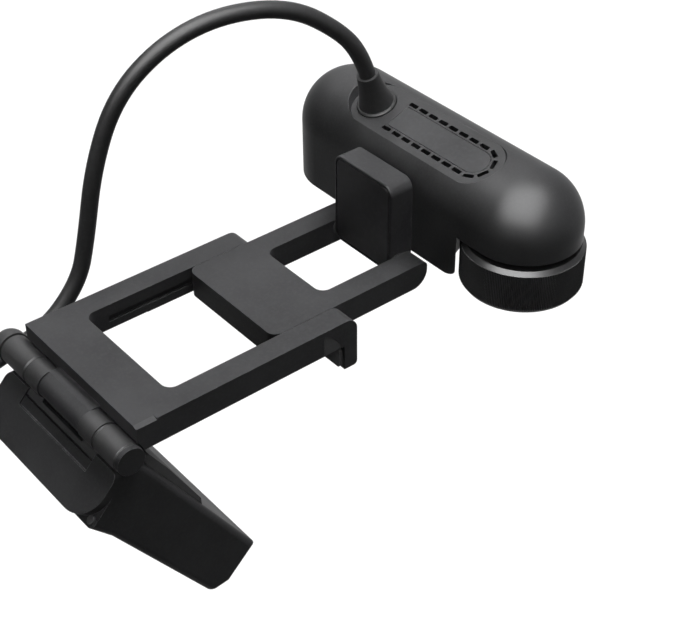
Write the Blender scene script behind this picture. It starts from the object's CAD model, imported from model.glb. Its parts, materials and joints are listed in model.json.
import json
import math

import bpy
from mathutils import Matrix, Vector


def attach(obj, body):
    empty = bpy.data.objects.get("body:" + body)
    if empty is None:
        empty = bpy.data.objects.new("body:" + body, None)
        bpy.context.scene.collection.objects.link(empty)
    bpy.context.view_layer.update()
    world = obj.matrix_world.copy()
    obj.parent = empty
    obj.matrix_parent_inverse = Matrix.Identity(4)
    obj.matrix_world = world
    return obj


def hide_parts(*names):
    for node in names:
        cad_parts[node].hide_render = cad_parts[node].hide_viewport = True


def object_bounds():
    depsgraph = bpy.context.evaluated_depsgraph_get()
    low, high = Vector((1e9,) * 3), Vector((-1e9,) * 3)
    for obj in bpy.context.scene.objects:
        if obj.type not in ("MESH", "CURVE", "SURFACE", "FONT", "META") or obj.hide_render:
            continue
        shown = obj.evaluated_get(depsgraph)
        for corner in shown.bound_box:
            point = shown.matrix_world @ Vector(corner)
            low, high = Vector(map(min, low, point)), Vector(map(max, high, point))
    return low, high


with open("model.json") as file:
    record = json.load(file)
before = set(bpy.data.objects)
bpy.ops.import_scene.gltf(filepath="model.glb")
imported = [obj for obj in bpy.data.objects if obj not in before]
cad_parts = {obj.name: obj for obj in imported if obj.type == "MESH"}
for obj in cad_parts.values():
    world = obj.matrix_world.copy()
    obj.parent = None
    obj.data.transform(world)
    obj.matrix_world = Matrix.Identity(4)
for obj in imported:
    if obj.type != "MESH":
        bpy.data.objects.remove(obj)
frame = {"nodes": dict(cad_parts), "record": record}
nodes = frame["nodes"]
cad_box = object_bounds()

scene = bpy.context.scene
scene.view_settings.view_transform = "Standard"

# ---------------------------------------------------------------- camera

CAMERA_PLACE = (-0.2659, 0.1776, 0.2490)
AZIMUTH = math.radians(230.64)
ELEVATION = math.radians(37.504)
ROLL = math.radians(-0.232)
SENSOR_WIDTH = 36  # millimetres, as the focal length
FOCAL_LENGTH = 75.94


def camera_turn():
    """Rotation whose columns are the camera's right, top and back."""
    back = Vector(
        (
            math.sin(AZIMUTH) * math.cos(ELEVATION),
            -math.cos(AZIMUTH) * math.cos(ELEVATION),
            math.sin(ELEVATION),
        )
    )
    level = (-back).cross(Vector((0, 0, 1))).normalized()
    upright = level.cross(-back)
    right = level * math.cos(ROLL) + upright * math.sin(ROLL)
    top = upright * math.cos(ROLL) - level * math.sin(ROLL)
    return Matrix((right, top, back)).transposed()


camera_data = bpy.data.cameras.new("camera")
camera_data.lens = FOCAL_LENGTH
camera_data.sensor_width = SENSOR_WIDTH
camera_data.sensor_fit = "HORIZONTAL"
camera_data.clip_start = 0.01
camera_data.clip_end = 20
camera = bpy.data.objects.new("camera", camera_data)
camera.matrix_world = Matrix.Translation(CAMERA_PLACE) @ camera_turn().to_4x4()
scene.collection.objects.link(camera)
scene.camera = camera

# ---------------------------------------------------------------- lead

CORD_DIAMETER = 0.00485
CORD_EXIT = Vector((0.0166, -0.060743, 0.049566))
# from the strain relief over the clip, and down behind it to the coil
ROUTE = (
    CORD_EXIT,
    Vector((0.0166, -0.058476, 0.056188)),
    Vector((0.0186, -0.0531, 0.0643)),
    Vector((0.0221, -0.0391, 0.07475)),
    Vector((0.0268, -0.02005, 0.0771)),
    Vector((0.0309, -0.00345, 0.07195)),
    Vector((0.0346, 0.00995, 0.0597)),
    Vector((0.0370, 0.0174, 0.0404)),
    Vector((0.0386, 0.0215, 0.0183)),
    Vector((0.0396, 0.0249, 0.0048)),
    Vector((0.0417, 0.0361, -0.0080)),
    Vector((0.0435, 0.0520, -0.0123)),
    Vector((0.0456, 0.0820, -0.0224)),
    Vector((0.0460, 0.1030, -0.0322)),
)
# from the coil down to the plug
TAIL = (
    Vector((0.0460, 0.1313, -0.0700)),
    Vector((0.0462, 0.1302, -0.0880)),
    Vector((0.0470, 0.1270, -0.1060)),
    Vector((0.0475, 0.1260, -0.1200)),
)
COIL_CENTRE = Vector((0.046, 0.100, -0.060))
COIL_RADIUS = 0.0265
COIL_START = math.radians(65)
COIL_TURNS = 7
COIL_POINTS = 115
# where the lead changes its place in the bundle: from turn, to turn, column, layer
COIL_MOVES = (
    (0.83, 0.95, 1, 0),
    (1.75, 1.87, 1, -1),
    (2.67, 2.79, 0, -1),
    (3.59, 3.71, -1, -1),
    (4.51, 4.63, -1, 0),
    (5.43, 5.55, -1, 1),
    (6.35, 6.60, 1, 1),
    (7.00, 7.17, 0, 1),
)


def bundle_place(turn):
    """Column and layer of the lead in the coil's bundle, this many turns in."""
    column, layer = 0.0, 0.0
    for start, end, next_column, next_layer in COIL_MOVES:
        share = min(max((turn - start) / (end - start), 0.0), 1.0)
        share = share * share * (3 - 2 * share)  # eased in and out
        column += (next_column - column) * share
        layer += (next_layer - layer) * share
    return column, layer


def coil_points():
    """Control points of the coil's turns, each where two tangents of its circle cross."""
    sweep = COIL_START + COIL_TURNS * 2 * math.pi
    step = sweep / COIL_POINTS
    for number in range(COIL_POINTS):
        done = (number + 0.5) * step
        column, layer = bundle_place(done / (2 * math.pi))
        angle = COIL_START - done
        radius = (COIL_RADIUS + layer * CORD_DIAMETER) / math.cos(step / 2)
        yield COIL_CENTRE + Vector(
            (column * CORD_DIAMETER, radius * math.cos(angle), radius * math.sin(angle))
        )


cord_data = bpy.data.curves.new("usb_lead", "CURVE")
cord_data.dimensions = "3D"
cord_data.resolution_u = 8
cord_data.bevel_depth = 1.0  # the points' own radius gives the thickness
cord_data.bevel_resolution = 6
cord_data.use_fill_caps = True
cord_line = cord_data.splines.new("NURBS")
cord_points = (*ROUTE, *coil_points(), *TAIL)
cord_line.points.add(len(cord_points) - 1)
for point, place in zip(cord_line.points, cord_points):
    point.co = (*place, 1)
    point.radius = CORD_DIAMETER / 2
cord_line.order_u = 3
cord_line.use_endpoint_u = True
cord = bpy.data.objects.new("usb_lead", cord_data)
scene.collection.objects.link(cord)
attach(cord, "head")
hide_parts("cord", "cord_coil", "cord_tail")

# ---------------------------------------------------------------- node trees

WHITE = (1, 1, 1, 1)
BEVEL_SAMPLES = 4
EDGE_START = 0.015  # how far a rounded normal leaves the face's own where an edge begins
# the Mix node repeats its sockets for each kind of data, and these are the colour's
MIX_SHARE = 0
MIX_COLOURS = slice(6, 8)
MIX_RESULT = 2


class Nodes:
    """Adds and links the nodes of one tree."""

    def __init__(self, tree):
        self.tree = tree
        self.tree.nodes.clear()

    def add(self, kind, **settings):
        node = self.tree.nodes.new(kind)
        for setting, value in settings.items():
            setattr(node, setting, value)
        return node

    def link(self, output, socket):
        self.tree.links.new(output, socket)

    def math(self, operation, first, second):
        node = self.add("ShaderNodeMath", operation=operation)
        for socket, value in zip(node.inputs, (first, second)):
            if isinstance(value, (int, float)):
                socket.default_value = value
            else:
                self.link(value, socket)
        return node.outputs["Value"]

    def glow(self, kind, strength):
        """White light from an emission or a background node."""
        node = self.add(kind)
        node.inputs["Color"].default_value = WHITE
        node.inputs["Strength"].default_value = strength
        return node.outputs[0]

    def choose(self, share, first, second):
        """The first shader where share is 0, the second where it is 1."""
        node = self.add("ShaderNodeMixShader")
        for socket, output in zip(node.inputs, (share, first, second)):
            self.link(output, socket)
        return node.outputs["Shader"]

    def seen_directly(self):
        """1 for the rays that show the background: camera, glossy and transmission."""
        path = self.add("ShaderNodeLightPath")
        seen = path.outputs["Is Camera Ray"]
        for ray in ("Is Glossy Ray", "Is Transmission Ray"):
            seen = self.math("MAXIMUM", seen, path.outputs[ray])
        return seen


class Finish(Nodes):
    """A material of nodes around one principled shader, in the object's own coordinates."""

    def __init__(self, name, **sockets):
        self.material = bpy.data.materials.new(name)
        self.material.use_nodes = True
        super().__init__(self.material.node_tree)
        self.surface = self.add("ShaderNodeBsdfPrincipled")
        for socket, value in sockets.items():
            self.surface.inputs[socket.replace("_", " ")].default_value = value
        self.output = self.add("ShaderNodeOutputMaterial")
        self.show(self.surface.outputs["BSDF"])
        self.place = self.add("ShaderNodeTexCoord").outputs["Object"]

    def show(self, shader):
        self.link(shader, self.output.inputs["Surface"])

    def stretched(self, scale):
        node = self.add("ShaderNodeMapping")
        node.inputs["Scale"].default_value = scale
        self.link(self.place, node.inputs["Vector"])
        return node.outputs["Vector"]

    def noise(self, scale, detail=3.0, place=None):
        node = self.add("ShaderNodeTexNoise")
        node.inputs["Scale"].default_value = scale
        node.inputs["Detail"].default_value = detail
        self.link(place or self.place, node.inputs["Vector"])
        return node.outputs["Fac"]

    def wave(self, scale, direction, distortion=0.0):
        node = self.add("ShaderNodeTexWave", bands_direction=direction)
        node.inputs["Scale"].default_value = scale
        node.inputs["Distortion"].default_value = distortion
        self.link(self.place, node.inputs["Vector"])
        return node.outputs["Fac"]

    def spread(self, value, low, high, from_low=0.3, from_high=0.7):
        """Maps from_low to low and from_high to high, and holds at both ends."""
        node = self.add("ShaderNodeMapRange", clamp=True)
        node.inputs["From Min"].default_value = from_low
        node.inputs["From Max"].default_value = from_high
        node.inputs["To Min"].default_value = low
        node.inputs["To Max"].default_value = high
        self.link(value, node.inputs["Value"])
        return node.outputs["Result"]

    def mix(self, share, first, second):
        """The first colour where share is 0, the second where it is 1."""
        node = self.add("ShaderNodeMix", data_type="RGBA")
        self.link(share, node.inputs[MIX_SHARE])
        for socket, value in zip(node.inputs[MIX_COLOURS], (first, second)):
            if isinstance(value, tuple):
                socket.default_value = (*value, 1)
            else:
                self.link(value, socket)
        return node.outputs[MIX_RESULT]

    def rounded(self, radius):
        """Normals that shade the sharp edges as if they had this radius."""
        node = self.add("ShaderNodeBevel", samples=BEVEL_SAMPLES)
        node.inputs["Radius"].default_value = radius
        return node.outputs["Normal"]

    def edges(self, rounded, sharp=0.2):
        """1 on the sharp edges, where the rounded normal leaves the face's own."""
        faces = self.add("ShaderNodeNewGeometry")
        dot = self.add("ShaderNodeVectorMath", operation="DOT_PRODUCT")
        self.link(rounded, dot.inputs[0])
        self.link(faces.outputs["Normal"], dot.inputs[1])
        turned = self.math("SUBTRACT", 1.0, dot.outputs["Value"])
        return self.spread(turned, low=0.0, high=1.0, from_low=EDGE_START, from_high=sharp)

    def bump(self, height, distance, strength, normal=None):
        node = self.add("ShaderNodeBump")
        node.inputs["Distance"].default_value = distance
        node.inputs["Strength"].default_value = strength
        self.link(height, node.inputs["Height"])
        if normal:
            self.link(normal, node.inputs["Normal"])
        return node.outputs["Normal"]

    def finish(self, colour, roughness, normal):
        self.link(colour, self.surface.inputs["Base Color"])
        self.link(roughness, self.surface.inputs["Roughness"])
        self.link(normal, self.surface.inputs["Normal"])
        return self.material


# ---------------------------------------------------------------- kinds of surface

# the same on every moulded surface: a noise's scale is its number of cells in a metre
CLOUD_SCALE = 55.0
PATCH_SCALE = 420.0
FLECK_COARSENESS = 0.45
FLECK_SHARE = 0.35
FLECK_TONE = 1.35
GRAIN_HEIGHT = 0.00002
WORN_SMOOTHER = 0.12
# the same on every metal surface
METAL_EDGE = 0.00012
METAL_WORN = 1.3


def scaled(colour, factor):
    return tuple(min(channel * factor, 1.0) for channel in colour)


def moulded(
    name,
    colour,
    roughness,
    specular,
    grain=2600.0,
    depth=0.25,
    edge=0.00016,
    worn=1.7,
    sharp=0.2,
    variation=0.14,
):
    """Moulded or coated surface: cloudy colour, fine grain, and edges rubbed lighter.

    grain and depth are the grain's scale and strength, edge is the radius that sharp edges
    are shaded with, worn is the colour's factor where they are rubbed, and sharp is how
    far a normal has turned where the edge is fully rubbed.
    """
    skin = Finish(name, Specular_IOR_Level=specular)
    clouds = skin.noise(CLOUD_SCALE, detail=4.0)
    flecks = skin.noise(grain * FLECK_COARSENESS, detail=2.0)
    fine = skin.noise(grain, detail=2.0)
    patches = skin.noise(PATCH_SCALE)
    darker, lighter = scaled(colour, 1 - variation), scaled(colour, 1 + variation)
    tone = skin.mix(skin.spread(clouds, low=0.0, high=1.0), darker, lighter)
    flecked = skin.spread(flecks, low=0.0, high=FLECK_SHARE, from_low=0.45, from_high=0.75)
    tone = skin.mix(flecked, tone, scaled(colour, FLECK_TONE))
    rounded = skin.rounded(edge)
    patchy = skin.spread(patches, low=0.15, high=1.0, from_low=0.35, from_high=0.65)
    wear = skin.math("MULTIPLY", skin.edges(rounded, sharp), patchy)
    tone = skin.mix(wear, tone, scaled(colour, worn))
    rough = skin.spread(clouds, low=roughness - 0.04, high=roughness + 0.05)
    rough = skin.math("SUBTRACT", rough, skin.math("MULTIPLY", wear, WORN_SMOOTHER))
    grained = skin.bump(fine, distance=GRAIN_HEIGHT, strength=depth, normal=rounded)
    return skin.finish(tone, rough, grained)


def metal(name, colour, roughness, grain, stretch):
    """Bare or blackened metal with fine drawn lines."""
    skin = Finish(name, Metallic=1.0)
    lines = skin.noise(grain, place=skin.stretched(stretch))
    clouds = skin.noise(scale=90.0)
    darker, lighter = scaled(colour, 0.85), scaled(colour, 1.12)
    tone = skin.mix(skin.spread(clouds, low=0.0, high=1.0), darker, lighter)
    rounded = skin.rounded(METAL_EDGE)
    tone = skin.mix(skin.edges(rounded), tone, scaled(colour, METAL_WORN))
    rough = skin.spread(lines, low=roughness - 0.07, high=roughness + 0.09)
    drawn = skin.bump(lines, distance=0.00001, strength=0.2, normal=rounded)
    return skin.finish(tone, rough, drawn)


def woven(name, colour):
    """Narrow woven strap."""
    skin = Finish(name, Sheen_Weight=0.3, Sheen_Roughness=0.5, Specular_IOR_Level=0.2)
    warp = skin.wave(scale=420.0, direction="Z")
    weft = skin.wave(scale=420.0, direction="X", distortion=0.4)
    weave = skin.math("MAXIMUM", warp, weft)
    fuzz = skin.noise(scale=1500.0, detail=4.0)
    tone = skin.mix(weave, scaled(colour, 0.6), scaled(colour, 1.5))
    rough = skin.spread(fuzz, low=0.75, high=0.95)
    height = skin.math("ADD", weave, skin.math("MULTIPLY", fuzz, 0.4))
    return skin.finish(tone, rough, skin.bump(height, distance=0.0001, strength=0.6))


def circuit(name):
    """Green board with lighter traces under its mask."""
    skin = Finish(name, Specular_IOR_Level=0.5)
    cells = skin.add("ShaderNodeTexBrick")
    cells.inputs["Scale"].default_value = 420.0
    cells.inputs["Mortar Size"].default_value = 0.06
    skin.link(skin.place, cells.inputs["Vector"])
    traces = cells.outputs["Fac"]
    tone = skin.mix(traces, (0.012, 0.09, 0.035), (0.03, 0.17, 0.06))
    stained = skin.spread(skin.noise(scale=300.0), low=0.0, high=0.4)
    tone = skin.mix(stained, tone, (0.02, 0.05, 0.03))
    rough = skin.spread(skin.noise(scale=700.0), low=0.3, high=0.45)
    return skin.finish(tone, rough, skin.bump(traces, distance=0.00003, strength=0.3))


def optic(name):
    """Coated front lens."""
    skin = Finish(
        name,
        Transmission_Weight=1.0,
        IOR=1.52,
        Coat_Weight=0.6,
        Coat_Roughness=0.02,
        Coat_Tint=(0.55, 0.6, 1.0, 1),
    )
    dust = skin.noise(scale=900.0, detail=2.0)
    tone = skin.mix(skin.spread(dust, low=0.0, high=1.0), (0.86, 0.92, 0.98), (0.78, 0.86, 0.95))
    rough = skin.spread(dust, low=0.0, high=0.04, from_low=0.5, from_high=0.8)
    return skin.finish(tone, rough, skin.bump(dust, distance=0.000002, strength=0.05))


def ringed(name, colour):
    """Matte black of the lens barrel, with fine turned rings."""
    skin = Finish(name, Specular_IOR_Level=0.25)
    rings = skin.wave(scale=900.0, direction="Z")
    tone = skin.mix(rings, scaled(colour, 0.8), scaled(colour, 1.25))
    rough = skin.spread(skin.noise(scale=1800.0), low=0.5, high=0.62)
    turned = skin.bump(rings, distance=0.00003, strength=0.5, normal=skin.rounded(0.0002))
    return skin.finish(tone, rough, turned)


# ---------------------------------------------------------------- finishes of the pieces

BLACK = (0.052, 0.052, 0.054)
MOULDED = {
    "clip_plastic": dict(
        colour=scaled(BLACK, 1.2), roughness=0.42, specular=0.0125, worn=2.6, sharp=0.12
    ),
    "leg_plastic": dict(
        colour=scaled(BLACK, 0.9),
        roughness=0.42,
        specular=0.0125,
        edge=0.0002,
        worn=5.0,
        sharp=0.065,
    ),
    "head_plastic": dict(
        colour=scaled(BLACK, 0.8),
        roughness=0.41,
        specular=0.03,
        grain=3200.0,
        depth=0.14,
        edge=0.00024,
        worn=3.0,
        sharp=0.1,
    ),
    "panel_plastic": dict(
        colour=scaled(BLACK, 1.4), roughness=0.4, specular=0.018, grain=1900.0, depth=0.3
    ),
    "soft_rubber": dict(
        colour=(0.022, 0.022, 0.023),
        roughness=0.72,
        specular=0.05,
        grain=1500.0,
        depth=0.4,
        worn=1.2,
    ),
    "cord_rubber": dict(
        colour=(0.036, 0.036, 0.037),
        roughness=0.48,
        specular=0.03,
        grain=1700.0,
        depth=0.12,
        worn=1.2,
    ),
    "dial_metal": dict(
        colour=(0.03, 0.03, 0.031),
        roughness=0.36,
        specular=0.06,
        grain=3500.0,
        depth=0.08,
        edge=0.0001,
        worn=2.2,
    ),
    "black_steel": dict(
        colour=(0.055, 0.055, 0.056),
        roughness=0.38,
        specular=0.03,
        grain=2200.0,
        depth=0.15,
        worn=1.8,
    ),
    "side_screw_steel": dict(
        colour=(0.11, 0.11, 0.112), roughness=0.35, specular=0.03, worn=1.4
    ),
    "plug_white": dict(
        colour=(0.75, 0.75, 0.73), roughness=0.45, specular=0.4, worn=1.05, variation=0.05
    ),
}
METALS = {
    "screw_steel": dict(
        colour=(0.05, 0.05, 0.052), roughness=0.42, grain=900.0, stretch=(1, 1, 12)
    ),
    "heat_aluminium": dict(
        colour=(0.16, 0.16, 0.17), roughness=0.5, grain=700.0, stretch=(12, 1, 1)
    ),
    "plug_steel": dict(
        colour=(0.4, 0.4, 0.41), roughness=0.3, grain=800.0, stretch=(1, 1, 14)
    ),
}
FINISHES = {
    **{name: moulded(name, **look) for name, look in MOULDED.items()},
    **{name: metal(name, **look) for name, look in METALS.items()},
    "board_green": circuit("board_green"),
    "barrel_black": ringed("barrel_black", (0.02, 0.02, 0.021)),
    "lens_glass": optic("lens_glass"),
    "tie_fabric": woven("tie_fabric", (0.03, 0.03, 0.032)),
}
# the pieces whose finish isn't the one of their slot
OWN_FINISH = {
    "leg_shell": "leg_plastic",
    "leg_cover": "leg_plastic",
    "hinge_cap_near": "leg_plastic",
    "leg_side_screws": "side_screw_steel",
    "hinge_washers": "dial_metal",
    "friction_washers": "soft_rubber",
}


def dress(piece, material):
    piece.data.materials.clear()
    piece.data.materials.append(material)


for part in frame["record"]["subparts"]:
    finish = OWN_FINISH.get(part["node"], part["material_slot"])
    dress(nodes[part["node"]], FINISHES[finish])
dress(cord, FINISHES["cord_rubber"])

# ---------------------------------------------------------------- floor and background

FLOOR_HALF = 4.0
FLOOR_GAP = 0.06  # room for the plug, which swings down when the head tilts
# seen directly, the floor glows and shows these tones in the lamps' light
FLOOR_TONES = ((0.12, 0.12, 0.12), (0.135, 0.135, 0.135))
FLOOR_GLOW = 0.89
FLOOR_BOUNCE = (0.08, 0.08, 0.08, 1)  # the tone that lights the object from below
SKY_LIGHT = 0.03  # what lights the object
SKY_SEEN = 1.0  # what shows as the background


def floor_finish():
    """Seen white, with the object's soft shadow on it, and clear from below."""
    skin = Finish("pale_floor", Roughness=0.9, Specular_IOR_Level=0.1)
    tone = skin.mix(skin.spread(skin.noise(scale=6.0), low=0.0, high=1.0), *FLOOR_TONES)
    skin.link(tone, skin.surface.inputs["Base Color"])
    shown = skin.add("ShaderNodeAddShader")
    skin.link(skin.surface.outputs["BSDF"], shown.inputs[0])
    skin.link(skin.glow("ShaderNodeEmission", FLOOR_GLOW), shown.inputs[1])
    dim = skin.add("ShaderNodeBsdfDiffuse")
    dim.inputs["Color"].default_value = FLOOR_BOUNCE
    above = skin.choose(skin.seen_directly(), dim.outputs["BSDF"], shown.outputs["Shader"])
    clear = skin.add("ShaderNodeBsdfTransparent")
    below = skin.add("ShaderNodeNewGeometry").outputs["Backfacing"]
    skin.show(skin.choose(below, above, clear.outputs["BSDF"]))
    return skin.material


floor_height = cad_box[0].z - FLOOR_GAP
floor_corners = [
    (FLOOR_HALF * x, FLOOR_HALF * y, floor_height) for x, y in ((-1, -1), (1, -1), (1, 1), (-1, 1))
]
floor_mesh = bpy.data.meshes.new("floor")
floor_mesh.from_pydata(floor_corners, [], [(0, 1, 2, 3)])
floor = bpy.data.objects.new("floor", floor_mesh)
scene.collection.objects.link(floor)
dress(floor, floor_finish())

world = bpy.data.worlds.new("studio")
scene.world = world
world.use_nodes = True
sky = Nodes(world.node_tree)
sky_shader = sky.choose(
    sky.seen_directly(),
    sky.glow("ShaderNodeBackground", SKY_LIGHT),
    sky.glow("ShaderNodeBackground", SKY_SEEN),
)
sky.link(sky_shader, sky.add("ShaderNodeOutputWorld").inputs["Surface"])

# ---------------------------------------------------------------- lamps

TARGET = Vector((0.0, -0.02, 0.01))  # the point that the lamps face


def softbox(name, direction, distance, width, level, gloss_only=False):
    """Square lamp aimed at the object: level 1 lights a facing white surface to white.

    A gloss_only lamp adds to the reflections and not to the diffuse light.
    """
    data = bpy.data.lights.new(name, "AREA")
    data.shape = "RECTANGLE"
    data.size = width
    data.size_y = width
    data.energy = level * math.pi**2 * distance**2
    lamp = bpy.data.objects.new(name, data)
    aim = Vector(direction).normalized()
    lamp.location = TARGET + aim * distance
    lamp.rotation_euler = aim.to_track_quat("Z", "Y").to_euler()
    lamp.visible_diffuse = not gloss_only
    scene.collection.objects.link(lamp)


softbox("overhead", (-0.05, -0.35, 1.0), distance=1.5, width=0.6, level=1.05)
softbox("near_side", (-1.0, -0.4, 0.1), distance=1.0, width=0.4, level=0.05)
softbox("rear_fill", (0.4, 1.0, 0.02), distance=1.0, width=0.5, level=0.05)
softbox("highlight", (-0.24, 0.37, 0.9), distance=1.2, width=1.75, level=64.0, gloss_only=True)
softbox("ceiling", (0.62, -0.3, 0.72), distance=1.3, width=1.0, level=1.5, gloss_only=True)
